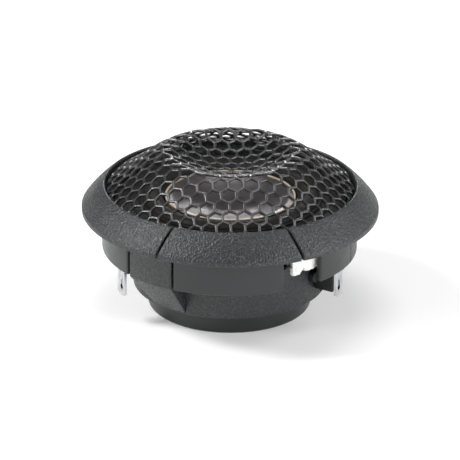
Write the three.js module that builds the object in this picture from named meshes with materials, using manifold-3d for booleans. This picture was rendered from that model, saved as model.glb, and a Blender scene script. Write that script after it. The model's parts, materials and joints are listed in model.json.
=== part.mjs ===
// Car tweeter: a flush-mounted high-frequency loudspeaker with a concave dome.
//
// Millimetres, +Z up. The speaker's axis is the Z axis, and the origin is the centre of the flat
// bottom of the rear cup. Directions round the axis are in degrees from the front (-Y) towards +X.

import * as THREE from 'three';
import { mergeVertices } from 'three/addons/utils/BufferGeometryUtils.js';
import Module from 'manifold-3d';

const wasm = await Module();
wasm.setup();

// ---- Driving dimensions ---------------------------------------------------------------------

const OUTER_SEGMENTS = 72;
const INNER_SEGMENTS = 40;
const TOUCH_GAP = 0.05; // between turned pieces that rest on each other

// Mounting flange and its skirt
const FLANGE_R = 27.5;
const SEAT_Z = 18.64;
const SEAT_INNER_R = 23.68;
const SEAT_STEP_Z = 18.9; // underside inside the seat
const RIM_TOP_Z = 19.5;
const RIM_ROUND = 0.2;
const BEZEL_R = 23.41;
const BEZEL_Z = 23.73;
const SLOPE_BULGE = 0.18;
const GRILLE_SEAT_R = 23.15;
const GRILLE_SEAT_Z = 21.8;
const FLANGE_BORE_R = 21.7;
const SKIRT_R = 23.76;
const SKIRT_WALL = 1.2;
const SKIRT_Z = 11.4;
const SKIRT_ROUND = 0.35;

// Badge insert: a wedge of the flange between two straight, splayed grooves
const BADGE_HALF_WIDTH = 11.47;
const BADGE_SPLAY = 44;
const GROOVE_WIDTH = 0.5;
const BADGE_SKIRT_END = 24.3;

// Housing
const SHELL_R = 17.95;
const SHELL_WALL = 1;
const SHELL_Z = 4.25;
const SHELL_FLOOR = 1.4;
const COLLAR_R = 21.4;
const COLLAR_Z = 14.2;
const COLLAR_WALL = 1.8;
const COLLAR_FLOOR = 1;
const SHELL_TOP_Z = 18.3;
const GUSSET_R = 23.62;
const GUSSET_KNEE_Z = 11.4;
const GUSSET_CENTRES = [-38.25, 81.75, 201.75];
const GUSSET_HALF = 12;
const GUSSET_SLOT = 1;
const WINDOW_END = 43.9;
const RECESS = { angle: 57, z: 9.4, radius: 1.1, floorR: 17.4 };
const LEAD_EYE = { angle: 27.6, z: 15.1, radius: 0.55 };

// Rear cup
const CUP_R = 15.2;
const CUP_WALL = 1.4;
const CUP_ROUND = 0.6;
const CUP_LIP_R = 16.8;
const CUP_LIP_Z = SHELL_Z + SHELL_FLOOR + TOUCH_GAP;
const CUP_TOP_Z = CUP_LIP_Z + 1;

// Magnet system
const YOKE_R = 16.7;
const YOKE_BORE_R = 13.2;
const YOKE_FLOOR = 2.6;
const YOKE_Z = CUP_TOP_Z + TOUCH_GAP;
const YOKE_TOP_Z = 17.9;
const VENT_R = 2.3;
const MAGNET_R = 10.9;
const MAGNET_Z = YOKE_Z + YOKE_FLOOR + TOUCH_GAP;
const MAGNET_TOP_Z = 14.6;
const POLE_R = 11.4;
const POLE_Z = MAGNET_TOP_Z + TOUCH_GAP;
const POLE_TOP_Z = 17.4;
const FELT_R = 6;
const FELT_THICKNESS = 0.3;
const FOAM_R = 13.2;
const FOAM_Z = 1.6;
const FOAM_TOP_Z = 5.6;

// Moving parts
const COIL_R = 11.95;
const FORMER_WALL = 0.2;
const FORMER_Z = 14.3;
const WINDING_WALL = 0.4;
const WINDING_Z = 14.6;
const WINDING_TOP_Z = 17.6;
const DOME_RIM_Z = 21.1;
const DOME_DEPTH = 2.3;
const DOME_SKIN = 0.3;
const BOND_WALL = 0.45;
const BOND_TOP_Z = 21.45;

// Surround and its carrier
const SURROUND_INNER_R = 12.45;
const SURROUND_OUTER_R = 16.9;
const SURROUND_CREST = 0.9;
const SURROUND_SKIN = 0.25;
const SURROUND_LIP = 0.7;
const SURROUND_Z = 20.8;
const CARRIER_R = 21.3;
const CARRIER_BORE_R = 15.9;
const CARRIER_Z = SHELL_TOP_Z + TOUCH_GAP;
const CARRIER_TOP_Z = 20.75;
const CARRIER_STEP_R = 17.1;
const CARRIER_STEP_Z = 19.5;

// Grille
const GRILLE_R = 22.9;
const GRILLE_SKIN = 0.6;
const GRILLE_FOOT_Z = GRILLE_SEAT_Z + TOUCH_GAP;
const GRILLE_EDGE_Z = 23.05;
const GRILLE_PROFILE = [
  [0, 26.85],
  [4, 27.15],
  [7, 27.98],
  [9.5, 28.99],
  [11.2, 29.64],
  [12.6, 29.87],
  [15.4, 28.5],
  [18.9, 25.8],
];

// Terminals: direction, height of the block's underside and the shoulder's reach to each side
const TERMINALS = {
  left: { angle: -62.5, blockZ: 11.7, shoulder: [2.6, 2.6] },
  right: { angle: 64.4, blockZ: 6.6, shoulder: [2.6, 1.8] },
};
const TAB_WIDTH = 2.8;
const TAB_THICKNESS = 0.5;
const TAB_FACE_R = 22.4;
const TAB_Z = 5.6;
const TAB_HOLE_Z = 7.1;
const TAB_HOLE_R = 0.6;
const TAB_SHOULDER_Z = 11;
const TAB_TOP_Z = 13.3;
const TAB_FOOT_R = 19.6;
const BLOCK_HALF = 4.6;
const BLOCK_LUG_R = 1.05;
const BLOCK_LUG_FACE_R = 19;

// Leads and glue
const LEAD_DIAMETER = 0.4;
const LEAD_INNER_R = 13.9;
const LEAD_Z = 18.9;
const LEAD_CHANNEL = 1.1;
const LEAD_DROP_R = 20.4;
const LEAD_LAID_R = 21.8; // where the right lead lies along the collar
const SOLDER_R = 0.75;
const SOLDER_HEIGHT = 0.45;
const BEAD = { from: 30.5, to: 46.3, inner: 21.45, outer: 22.35, low: 13.1, high: 16.4 };

// ---- Materials ------------------------------------------------------------------------------

function finish(color, roughness, metalness = 0) {
  return new THREE.MeshStandardMaterial({ color, roughness, metalness });
}

const grainedPlastic = finish(0x2b2d2f, 0.75);
const smoothPlastic = finish(0x3a3d3f, 0.45);
const blackPlastic = finish(0x141517, 0.6);
const blackMetal = finish(0x191a1c, 0.5, 0.3);
const tinPlate = finish(0xd8dadb, 0.3, 1);
const aluminium = finish(0xa9a5a8, 0.35, 1);
const steel = finish(0x8f9294, 0.4, 1);
const magnetNickel = finish(0xb5b3ad, 0.3, 1);
const copper = finish(0xb0683a, 0.35, 1);
const kapton = finish(0x8a6a2c, 0.5);
const rubber = finish(0x1d1b19, 0.8);
const creamGlue = finish(0xbfae8c, 0.6);
const whiteGlue = finish(0xe9e9e6, 0.5);
const foam = finish(0x4b4d50, 0.95);
const felt = finish(0x8d8778, 0.95);

// ---- Geometry helpers -----------------------------------------------------------------------

const radians = THREE.MathUtils.degToRad;

/** A closed ring or disc: an anticlockwise [radius, height] outline turned about the Z axis. */
function turned(outline, segments = INNER_SEGMENTS) {
  const onAxis = outline.some(([r]) => r === 0);
  const points = outline.map(([r, z]) => new THREE.Vector2(r, z));
  if (!onAxis) points.push(points[0].clone());
  return new THREE.LatheGeometry(points, segments).rotateX(Math.PI / 2);
}

/** The corners of a plain ring's outline. */
function ringOutline(innerR, outerR, lowZ, highZ) {
  return [
    [outerR, lowZ],
    [outerR, highZ],
    [innerR, highZ],
    [innerR, lowZ],
  ];
}

/** A disc's outline, from the axis at the bottom round to the axis at the top. */
function discOutline(radius, lowZ, highZ) {
  return [
    [0, lowZ],
    [radius, lowZ],
    [radius, highZ],
    [0, highZ],
  ];
}

/** Points on an arc in the [radius, height] plane, 0 degrees pointing outwards and 90 up. */
function arc(centreR, centreZ, radius, fromAngle, toAngle, steps) {
  const points = [];
  for (let i = 0; i <= steps; i += 1) {
    const a = radians(fromAngle + ((toAngle - fromAngle) * i) / steps);
    points.push([centreR + radius * Math.cos(a), centreZ + radius * Math.sin(a)]);
  }
  return points;
}

/** Points from one end to the other of a line that swells to its right by bulge at the middle. */
function bowed([r0, z0], [r1, z1], bulge, steps) {
  const length = Math.hypot(r1 - r0, z1 - z0);
  const points = [];
  for (let i = 0; i <= steps; i += 1) {
    const t = i / steps;
    const swell = (4 * bulge * t * (1 - t)) / length;
    points.push([r0 + (r1 - r0) * t + (z1 - z0) * swell, z0 + (z1 - z0) * t - (r1 - r0) * swell]);
  }
  return points;
}

/** A three.js geometry as a solid that can be cut and joined. */
function solid(geometry) {
  const plain = geometry.index ? geometry.clone() : geometry;
  plain.deleteAttribute('normal');
  plain.deleteAttribute('uv');
  const merged = mergeVertices(plain, 1e-5);
  const corners = merged.index.array;
  const triVerts = [];
  for (let i = 0; i < corners.length; i += 3) {
    const [a, b, c] = corners.slice(i, i + 3);
    if (a !== b && b !== c && c !== a) triVerts.push(a, b, c);
  }
  const mesh = new wasm.Mesh({
    numProp: 3,
    vertProperties: new Float32Array(merged.attributes.position.array),
    triVerts: new Uint32Array(triVerts),
  });
  return new wasm.Manifold(mesh);
}

/** The cut and joined solid as a geometry again. */
function geometryOf(manifold) {
  const { vertProperties, triVerts } = manifold.getMesh();
  const geometry = new THREE.BufferGeometry();
  geometry.setAttribute('position', new THREE.BufferAttribute(vertProperties, 3));
  geometry.setIndex(new THREE.BufferAttribute(triVerts, 1));
  return geometry;
}

/** A slab with the given [x, y] outline between two heights. */
function slab(outline, lowZ, highZ) {
  const shape = new THREE.Shape(outline.map(([x, y]) => new THREE.Vector2(x, y)));
  const depth = highZ - lowZ;
  return new THREE.ExtrudeGeometry(shape, { depth, bevelEnabled: false }).translate(0, 0, lowZ);
}

/** A pie slice between two directions, big enough to cut any ring of the speaker. */
function slice(fromAngle, toAngle) {
  const reach = FLANGE_R + 10;
  const steps = Math.ceil((toAngle - fromAngle) / 20);
  const outline = [[0, 0]];
  for (let i = 0; i <= steps; i += 1) {
    const a = radians(fromAngle + ((toAngle - fromAngle) * i) / steps);
    outline.push([reach * Math.sin(a), -reach * Math.cos(a)]);
  }
  return solid(slab(outline, -1, 40));
}

/** A box by its size and centre, turned to a direction round the axis. */
function boxAt(size, [x, y, z], angle) {
  return new THREE.BoxGeometry(...size).translate(x, y, z).rotateZ(radians(angle));
}

/** A peg along the radius at a direction, between two radii. */
function radialPeg(radius, innerR, outerR, angle, z) {
  const length = outerR - innerR;
  const peg = new THREE.CylinderGeometry(radius, radius, length, 16);
  return peg.translate(0, -(innerR + length / 2), z).rotateZ(radians(angle));
}

const speaker = new THREE.Group();

/** Adds one named piece to the speaker. */
function add(name, geometry, material, parent = speaker) {
  const mesh = new THREE.Mesh(geometry, material);
  mesh.name = name;
  parent.add(mesh);
  return mesh;
}

// ---- Flange, badge insert and grille --------------------------------------------------------

/** The flange's outline: stepped underside, flat seat, rim, sloped face, bezel and grille step. */
function flangeOutline() {
  const lipRound = 0.25;
  return [
    [FLANGE_BORE_R, SEAT_STEP_Z],
    [SEAT_INNER_R, SEAT_STEP_Z],
    [SEAT_INNER_R, SEAT_Z],
    [FLANGE_R - RIM_ROUND, SEAT_Z],
    [FLANGE_R, SEAT_Z + RIM_ROUND],
    ...bowed([FLANGE_R, RIM_TOP_Z], [BEZEL_R + lipRound, BEZEL_Z - 0.1], SLOPE_BULGE, 4),
    [BEZEL_R, BEZEL_Z],
    [GRILLE_SEAT_R, BEZEL_Z - lipRound],
    [GRILLE_SEAT_R, GRILLE_SEAT_Z],
    [FLANGE_BORE_R, GRILLE_SEAT_Z],
  ];
}

/** The skirt that hangs from the flange, as a full ring with a rounded lower edge. */
function skirtOutline() {
  const innerR = SKIRT_R - SKIRT_WALL;
  return [
    [innerR, SKIRT_Z],
    [SKIRT_R - SKIRT_ROUND, SKIRT_Z],
    [SKIRT_R - SKIRT_ROUND * 0.3, SKIRT_Z + SKIRT_ROUND * 0.3],
    [SKIRT_R, SKIRT_Z + SKIRT_ROUND],
    [SKIRT_R, SEAT_Z + 0.5],
    [innerR, SEAT_Z + 0.5],
  ];
}

/** The plan of the badge insert, a trapezoid whose sides follow the grooves, widened by grow. */
function badgePlan(grow) {
  const slope = Math.tan(radians(BADGE_SPLAY));
  const side = grow / Math.cos(radians(BADGE_SPLAY));
  const halfAt = (y) => BADGE_HALF_WIDTH + (-y - SKIRT_R + SKIRT_WALL) * slope + side;
  const near = -FLANGE_BORE_R + 2;
  const far = -FLANGE_R - 2;
  const outline = [
    [-halfAt(near), near],
    [-halfAt(far), far],
    [halfAt(far), far],
    [halfAt(near), near],
  ];
  return solid(slab(outline, -1, 40));
}

function flangeRing() {
  const skirt = solid(turned(skirtOutline(), OUTER_SEGMENTS));
  const [first, second, third] = GUSSET_CENTRES;
  const clear = GUSSET_HALF + GUSSET_SLOT;
  const bays = [
    slice(WINDOW_END, second - clear),
    slice(second + clear, third - clear),
    slice(third + clear, first + 360 - clear),
  ];
  let ring = solid(turned(flangeOutline(), OUTER_SEGMENTS));
  bays.forEach((bay) => {
    ring = ring.add(skirt.intersect(bay));
  });
  return geometryOf(ring.subtract(badgePlan(GROOVE_WIDTH / 2)));
}

function badgeInsert() {
  const skirt = solid(turned(skirtOutline(), OUTER_SEGMENTS));
  const bay = slice(GUSSET_CENTRES[0] + GUSSET_HALF + GUSSET_SLOT, BADGE_SKIRT_END);
  const whole = solid(turned(flangeOutline(), OUTER_SEGMENTS)).add(skirt.intersect(bay));
  return geometryOf(whole.intersect(badgePlan(-GROOVE_WIDTH / 2)));
}

/** The pressed grille as a plain skin: dished centre, ring crest, slope and a turned-down edge. */
function grille() {
  const controls = [...GRILLE_PROFILE, [GRILLE_R, GRILLE_EDGE_Z]];
  const curve = new THREE.SplineCurve(controls.map(([r, z]) => new THREE.Vector2(r, z)));
  const steps = 10;
  const outside = [];
  const inside = [];
  for (let i = 0; i <= steps; i += 1) {
    const p = curve.getPointAt(i / steps);
    const along = curve.getTangentAt(i / steps);
    const onAxis = i === 0;
    const lowered = p.clone().add(new THREE.Vector2(along.y, -along.x).multiplyScalar(GRILLE_SKIN));
    outside.push([onAxis ? 0 : p.x, p.y]);
    inside.push([onAxis ? 0 : lowered.x, lowered.y]);
  }
  const edgeR = GRILLE_R - GRILLE_SKIN;
  inside.pop();
  const outline = [
    ...inside,
    [edgeR, inside.at(-1)[1] - 0.4],
    [edgeR, GRILLE_FOOT_Z],
    [GRILLE_R, GRILLE_FOOT_Z],
    ...outside.reverse(),
  ];
  return turned(outline, OUTER_SEGMENTS);
}

add('flange_ring', flangeRing(), grainedPlastic);
add('badge_insert', badgeInsert(), grainedPlastic);
add('grille', grille(), blackMetal);

// ---- Housing --------------------------------------------------------------------------------

/** Slot through the collar for the left lead, from its cavity to the outside and to the top. */
function leadSlot() {
  const innerR = COLLAR_R - COLLAR_WALL - 0.5;
  const outerR = COLLAR_R + 0.5;
  const lowZ = COLLAR_Z - 1;
  const highZ = SHELL_TOP_Z + 1;
  const size = [LEAD_CHANNEL, outerR - innerR, highZ - lowZ];
  const centre = [0, -(outerR + innerR) / 2, (highZ + lowZ) / 2];
  return solid(boxAt(size, centre, TERMINALS.left.angle));
}

/** The housing's wall: a cup with a hole in its floor and a wider, hollow collar round its top. */
function shellOutline() {
  const innerR = SHELL_R - SHELL_WALL;
  const collarInnerR = COLLAR_R - COLLAR_WALL;
  const holeR = CUP_R + TOUCH_GAP;
  const floorTop = SHELL_Z + SHELL_FLOOR;
  const collarFloorTop = COLLAR_Z + COLLAR_FLOOR;
  return [
    [holeR, SHELL_Z],
    [SHELL_R - 0.15, SHELL_Z],
    [SHELL_R, SHELL_Z + 0.15],
    [SHELL_R, COLLAR_Z],
    [COLLAR_R, COLLAR_Z],
    [COLLAR_R, SHELL_TOP_Z],
    [collarInnerR, SHELL_TOP_Z],
    [collarInnerR, collarFloorTop],
    [innerR, collarFloorTop],
    [innerR, floorTop],
    [holeR, floorTop],
  ];
}

/** The gussets' outline: sloped below the knee, upright above it, and up to the flange. */
function gussetOutline() {
  return [
    [SHELL_R - 0.5, SHELL_Z + 0.15],
    [SHELL_R, SHELL_Z + 0.15],
    [GUSSET_R, GUSSET_KNEE_Z],
    [GUSSET_R, SEAT_STEP_Z - TOUCH_GAP],
    [COLLAR_R - 0.05, SEAT_STEP_Z - TOUCH_GAP],
    [COLLAR_R - 0.05, SHELL_TOP_Z - 0.1],
    [COLLAR_R - 0.5, SHELL_TOP_Z - 0.1],
    [COLLAR_R - 0.5, COLLAR_Z + 0.1],
    [SHELL_R - 0.5, COLLAR_Z + 0.1],
  ];
}

function bodyShell() {
  const gussetRing = solid(turned(gussetOutline(), OUTER_SEGMENTS));
  let shell = solid(turned(shellOutline(), OUTER_SEGMENTS));
  GUSSET_CENTRES.forEach((centre) => {
    shell = shell.add(gussetRing.intersect(slice(centre - GUSSET_HALF, centre + GUSSET_HALF)));
  });
  const { angle, z, radius } = LEAD_EYE;
  const eye = radialPeg(radius, SHELL_R + 0.1, COLLAR_R + 1, angle, z);
  const recess = radialPeg(RECESS.radius, RECESS.floorR, SHELL_R + 1, RECESS.angle, RECESS.z);
  return geometryOf(shell.subtract(leadSlot()).subtract(solid(eye)).subtract(solid(recess)));
}

function rearCup() {
  const innerR = CUP_R - CUP_WALL;
  return turned([
    [0, 0],
    ...arc(CUP_R - CUP_ROUND, CUP_ROUND, CUP_ROUND, -90, 0, 3),
    [CUP_R, CUP_LIP_Z],
    [CUP_LIP_R, CUP_LIP_Z],
    [CUP_LIP_R, CUP_TOP_Z],
    [innerR, CUP_TOP_Z],
    [innerR, CUP_WALL],
    [0, CUP_WALL],
  ]);
}

add('body_shell', bodyShell(), grainedPlastic);
add('rear_cup', rearCup(), smoothPlastic);
add('chamber_foam', turned(discOutline(FOAM_R, FOAM_Z, FOAM_TOP_Z)), foam);

// ---- Magnet system --------------------------------------------------------------------------

function yokeCup() {
  return turned([
    [VENT_R, YOKE_Z],
    [YOKE_R, YOKE_Z],
    [YOKE_R, YOKE_TOP_Z],
    [YOKE_BORE_R, YOKE_TOP_Z],
    [YOKE_BORE_R, YOKE_Z + YOKE_FLOOR],
    [VENT_R, YOKE_Z + YOKE_FLOOR],
  ]);
}

const feltZ = POLE_TOP_Z + TOUCH_GAP;
add('yoke_cup', yokeCup(), steel);
add('magnet', turned(ringOutline(VENT_R, MAGNET_R, MAGNET_Z, MAGNET_TOP_Z)), magnetNickel);
add('top_plate', turned(ringOutline(VENT_R, POLE_R, POLE_Z, POLE_TOP_Z)), steel);
add('pole_felt', turned(ringOutline(VENT_R + 0.3, FELT_R, feltZ, feltZ + FELT_THICKNESS)), felt);

// ---- Moving assembly: former, winding, dome and the glue that joins them ---------------------

/** The concave dome: a shallow bowl with a flat rim that stands on the former. */
function dome() {
  const bowlR = COIL_R - 0.9;
  const sphereR = (bowlR * bowlR + DOME_DEPTH * DOME_DEPTH) / (2 * DOME_DEPTH);
  const steps = 5;
  const heightAt = (r) => DOME_RIM_Z - DOME_DEPTH + sphereR - Math.sqrt(sphereR ** 2 - r ** 2);
  const top = [];
  for (let i = 0; i <= steps; i += 1) {
    const r = (bowlR * i) / steps;
    top.push([r, heightAt(r)]);
  }
  const bottom = top.map(([r, z]) => [r, z - DOME_SKIN]);
  return turned([
    ...bottom,
    [COIL_R, DOME_RIM_Z - DOME_SKIN],
    [COIL_R, DOME_RIM_Z],
    ...top.reverse(),
  ]);
}

const formerR = COIL_R - FORMER_WALL;
const formerTop = DOME_RIM_Z - DOME_SKIN - TOUCH_GAP;
const windingR = COIL_R + TOUCH_GAP;
const bondR = COIL_R - 0.25;
const bondZ = DOME_RIM_Z + TOUCH_GAP;
add('dome', dome(), aluminium);
add('voice_coil_former', turned(ringOutline(formerR, COIL_R, FORMER_Z, formerTop)), kapton);
const winding = ringOutline(windingR, windingR + WINDING_WALL, WINDING_Z, WINDING_TOP_Z);
add('voice_coil_winding', turned(winding), copper);
add('bond_ring', turned(ringOutline(bondR, bondR + BOND_WALL, bondZ, BOND_TOP_Z)), creamGlue);

// ---- Surround and its carrier ---------------------------------------------------------------

/** The surround: a half-round roll between two flat lips. */
function surround() {
  const innerRoll = SURROUND_INNER_R + SURROUND_LIP;
  const outerRoll = SURROUND_OUTER_R - SURROUND_LIP;
  const middle = (innerRoll + outerRoll) / 2;
  const half = (outerRoll - innerRoll) / 2;
  const steps = 6;
  const top = [[SURROUND_OUTER_R, SURROUND_Z + SURROUND_SKIN]];
  const bottom = [[SURROUND_INNER_R, SURROUND_Z]];
  for (let i = 0; i <= steps; i += 1) {
    const a = (Math.PI * i) / steps;
    const lift = SURROUND_CREST * Math.sin(a);
    top.push([middle + half * Math.cos(a), SURROUND_Z + SURROUND_SKIN + lift]);
    bottom.push([middle - half * Math.cos(a), SURROUND_Z + lift]);
  }
  top.push([SURROUND_INNER_R, SURROUND_Z + SURROUND_SKIN]);
  bottom.push([SURROUND_OUTER_R, SURROUND_Z]);
  return turned([...bottom, ...top]);
}

/** The carrier plate, stepped underneath to clear the yoke, with a channel for each lead. */
function diaphragmCarrier() {
  let plate = solid(turned([
    [CARRIER_STEP_R, CARRIER_Z],
    [CARRIER_R, CARRIER_Z],
    [CARRIER_R, CARRIER_TOP_Z],
    [CARRIER_BORE_R, CARRIER_TOP_Z],
    [CARRIER_BORE_R, CARRIER_STEP_Z],
    [CARRIER_STEP_R, CARRIER_STEP_Z],
  ]));
  [TERMINALS.left.angle, LEAD_EYE.angle].forEach((angle) => {
    const size = [LEAD_CHANNEL, 6, 2];
    const centre = [0, -CARRIER_R + 2, CARRIER_Z + 0.2];
    plate = plate.subtract(solid(boxAt(size, centre, angle)));
  });
  return geometryOf(plate);
}

add('surround', surround(), rubber);
add('diaphragm_carrier', diaphragmCarrier(), blackPlastic);

// ---- Terminals, leads and glue --------------------------------------------------------------

/** One push-on tab: a flat blade with a hole, a wider shoulder and a foot bent inwards. */
function terminal({ angle, shoulder }) {
  const half = TAB_WIDTH / 2;
  const [before, after] = shoulder;
  const corner = 0.5;
  const blade = new THREE.Shape();
  blade.moveTo(-half + corner, TAB_Z);
  blade.lineTo(half - corner, TAB_Z);
  blade.lineTo(half, TAB_Z + corner);
  blade.lineTo(half, TAB_SHOULDER_Z);
  blade.lineTo(after, TAB_SHOULDER_Z);
  blade.lineTo(after, TAB_TOP_Z);
  blade.lineTo(-before, TAB_TOP_Z);
  blade.lineTo(-before, TAB_SHOULDER_Z);
  blade.lineTo(-half, TAB_SHOULDER_Z);
  blade.lineTo(-half, TAB_Z + corner);
  blade.closePath();
  blade.holes.push(new THREE.Path().absarc(0, TAB_HOLE_Z, TAB_HOLE_R, 0, 2 * Math.PI));
  const options = { depth: TAB_THICKNESS, bevelEnabled: false, curveSegments: 12 };
  const upright = new THREE.ExtrudeGeometry(blade, options).rotateX(Math.PI / 2);
  const plate = upright.translate(0, TAB_THICKNESS - TAB_FACE_R, 0).rotateZ(radians(angle));
  const footSize = [TAB_WIDTH, TAB_FACE_R - TAB_FOOT_R, TAB_THICKNESS];
  const footCentre = [0, -(TAB_FACE_R + TAB_FOOT_R) / 2, TAB_TOP_Z - TAB_THICKNESS / 2];
  return geometryOf(solid(plate).add(solid(boxAt(footSize, footCentre, angle))));
}

/** The black block behind a tab, curved to the housing's wall. */
function terminalBlock({ angle, blockZ }) {
  const outerR = TAB_FACE_R - TAB_THICKNESS - TOUCH_GAP;
  const topZ = TAB_TOP_Z - TAB_THICKNESS - TOUCH_GAP;
  const ring = solid(turned(ringOutline(SHELL_R + TOUCH_GAP, outerR, blockZ, topZ), OUTER_SEGMENTS));
  return ring.intersect(slice(angle - BLOCK_HALF, angle + BLOCK_HALF));
}

/** The round lug on the right block, which sits in the housing's recess. */
function blockLug() {
  const innerR = RECESS.floorR + TOUCH_GAP;
  return solid(radialPeg(BLOCK_LUG_R, innerR, BLOCK_LUG_FACE_R, RECESS.angle, RECESS.z));
}

/** A round wire along a smooth curve through [radius, direction, height] points. */
function wire(stops, diameter, steps) {
  const points = stops.map(([r, angle, z]) => {
    const a = radians(angle);
    return new THREE.Vector3(r * Math.sin(a), -r * Math.cos(a), z);
  });
  const extrudePath = new THREE.CatmullRomCurve3(points, false, 'centripetal');
  const section = new THREE.Shape().absarc(0, 0, diameter / 2, 0, 2 * Math.PI);
  return new THREE.ExtrudeGeometry(section, { steps, curveSegments: 8, extrudePath });
}

/** The left lead: out from the coil along the carrier's channel and straight down to the tab. */
function leftLeadStops() {
  const { angle } = TERMINALS.left;
  return [
    [LEAD_INNER_R, angle, LEAD_Z],
    [LEAD_DROP_R - 1.2, angle, LEAD_Z],
    [LEAD_DROP_R - 0.2, angle, LEAD_Z - 0.3],
    [LEAD_DROP_R, angle, LEAD_Z - 1.2],
    [LEAD_DROP_R, angle, TAB_TOP_Z + SOLDER_HEIGHT + 2 * TOUCH_GAP],
  ];
}

/** The right lead: out of the eye, along the collar under the glue, then down to the tab. */
function rightLeadStops() {
  const { angle, z } = LEAD_EYE;
  const shellR = COLLAR_R - COLLAR_WALL;
  return [
    [LEAD_INNER_R, angle, LEAD_Z],
    [shellR - 2.2, angle, LEAD_Z],
    [shellR - 1, angle, LEAD_Z - 0.6],
    [shellR - 0.7, angle, (LEAD_Z + z) / 2],
    [shellR - 0.5, angle, z + 0.35],
    [shellR + 0.5, angle, z],
    [LEAD_LAID_R - 0.4, angle, z],
    [LEAD_LAID_R, angle + 2, z - 0.05],
    [LEAD_LAID_R, angle + 8, z],
    [LEAD_LAID_R, angle + 14, z + 0.2],
    [LEAD_LAID_R, angle + 18.5, z + 0.6],
    [LEAD_LAID_R + 0.1, angle + 21.5, z - 0.2],
    [LEAD_LAID_R, angle + 22.5, z - 1.4],
    [LEAD_DROP_R + 0.7, angle + 27, COLLAR_Z - 0.75],
    [LEAD_DROP_R, TERMINALS.right.angle - 3.4, TAB_TOP_Z + 0.3],
  ];
}

/** The solder joint: a low cone of tin on the tab's foot. */
function solderJoint({ angle }) {
  const low = TAB_TOP_Z + TOUCH_GAP;
  const cone = turned([
    [0, low],
    [SOLDER_R, low],
    [SOLDER_R * 0.7, low + SOLDER_HEIGHT * 0.7],
    [0, low + SOLDER_HEIGHT],
  ], 16);
  return cone.translate(0, -LEAD_DROP_R, 0).rotateZ(radians(angle));
}

/** The bead of glue over the right lead: a thick strip on the collar with a notch below. */
function adhesiveBead() {
  const strip = solid(turned([
    [BEAD.inner, BEAD.low],
    [BEAD.outer - 0.4, BEAD.low],
    [BEAD.outer, BEAD.low + 0.5],
    [BEAD.outer, BEAD.high - 0.3],
    [BEAD.outer - 0.3, BEAD.high],
    [BEAD.inner, BEAD.high],
  ], OUTER_SEGMENTS));
  const notch = radialPeg(0.5, BEAD.inner - 1, BEAD.outer + 1, BEAD.from + 7, BEAD.low);
  const channel = wire(rightLeadStops(), LEAD_DIAMETER + 4 * TOUCH_GAP, 60);
  const bead = strip.intersect(slice(BEAD.from, BEAD.to));
  return geometryOf(bead.subtract(solid(notch)).subtract(solid(channel)));
}

Object.entries(TERMINALS).forEach(([side, place]) => {
  add(`terminal_${side}`, terminal(place), tinPlate);
  add(`solder_${side}`, solderJoint(place), tinPlate);
});
add('terminal_carrier_left', geometryOf(terminalBlock(TERMINALS.left)), blackPlastic);
add('terminal_carrier_right', geometryOf(terminalBlock(TERMINALS.right).add(blockLug())), blackPlastic);
add('lead_wire_left', wire(leftLeadStops(), LEAD_DIAMETER, 18), copper);
add('lead_wire_right', wire(rightLeadStops(), LEAD_DIAMETER, 60), copper);
add('adhesive_bead', adhesiveBead(), whiteGlue);

export default speaker;
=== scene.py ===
"""Car tweeter: the visual model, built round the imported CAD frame.

Lengths are in millimetres and turned into metres where a mesh is made. Directions round the
speaker's axis are in degrees from the front (-Y) towards +X.
"""

import json
import math
import random

import bmesh
import bpy
from mathutils import Matrix, Vector, noise


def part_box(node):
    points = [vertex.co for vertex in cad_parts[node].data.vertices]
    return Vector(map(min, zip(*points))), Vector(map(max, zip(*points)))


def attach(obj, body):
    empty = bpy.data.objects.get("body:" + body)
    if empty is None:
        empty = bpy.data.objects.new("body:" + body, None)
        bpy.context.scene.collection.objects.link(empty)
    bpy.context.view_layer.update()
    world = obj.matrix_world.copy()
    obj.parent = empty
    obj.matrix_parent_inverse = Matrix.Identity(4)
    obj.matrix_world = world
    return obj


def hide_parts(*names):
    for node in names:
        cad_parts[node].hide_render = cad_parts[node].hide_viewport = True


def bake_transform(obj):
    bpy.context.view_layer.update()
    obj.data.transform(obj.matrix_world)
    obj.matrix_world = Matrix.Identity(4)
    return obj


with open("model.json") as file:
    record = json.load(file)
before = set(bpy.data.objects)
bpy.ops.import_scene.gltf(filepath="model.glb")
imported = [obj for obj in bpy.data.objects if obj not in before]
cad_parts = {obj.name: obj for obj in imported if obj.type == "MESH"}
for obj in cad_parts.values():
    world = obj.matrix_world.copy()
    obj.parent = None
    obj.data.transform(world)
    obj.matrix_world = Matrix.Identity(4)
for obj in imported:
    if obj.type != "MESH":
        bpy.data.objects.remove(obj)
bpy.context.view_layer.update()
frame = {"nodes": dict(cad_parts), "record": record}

MM = 0.001
ROOT = "housing"
MOVING = "dome_assembly"


# ---- Sizes ----------------------------------------------------------------------------------


def low(node, axis):
    """Lowest coordinate of a CAD node along an axis, in millimetres."""
    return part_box(node)[0]["xyz".index(axis)] / MM


def high(node, axis):
    """Highest coordinate of a CAD node along an axis, in millimetres."""
    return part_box(node)[1]["xyz".index(axis)] / MM


# Flange, skirt and badge insert
FLANGE_R = high("flange_ring", "x")
BEZEL_Z = high("flange_ring", "z")
SEAT_Z = frame["record"]["mounts"][0]["pos_m"][2] / MM
RIM_TOP_Z = SEAT_Z + 0.86
BEZEL_R = 23.41
SLOPE_BULGE = 0.18
GRILLE_SEAT_R = 23.15
GRILLE_SEAT_Z = 21.8
FLANGE_BORE_R = 21.7
SKIRT_R = 23.76
SKIRT_WALL = 1.2
SKIRT_ROOT = 0.4
SKIRT_Z = low("flange_ring", "z")
SEAT_INNER_R = 23.68
SEAT_STEP_Z = 18.9
BADGE_HALF_WIDTH = 11.47
BADGE_SPLAY = 44
GROOVE_WIDTH = 0.5
BADGE_SKIRT_END = 24.3
WINDOW_END = 43.9

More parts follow.
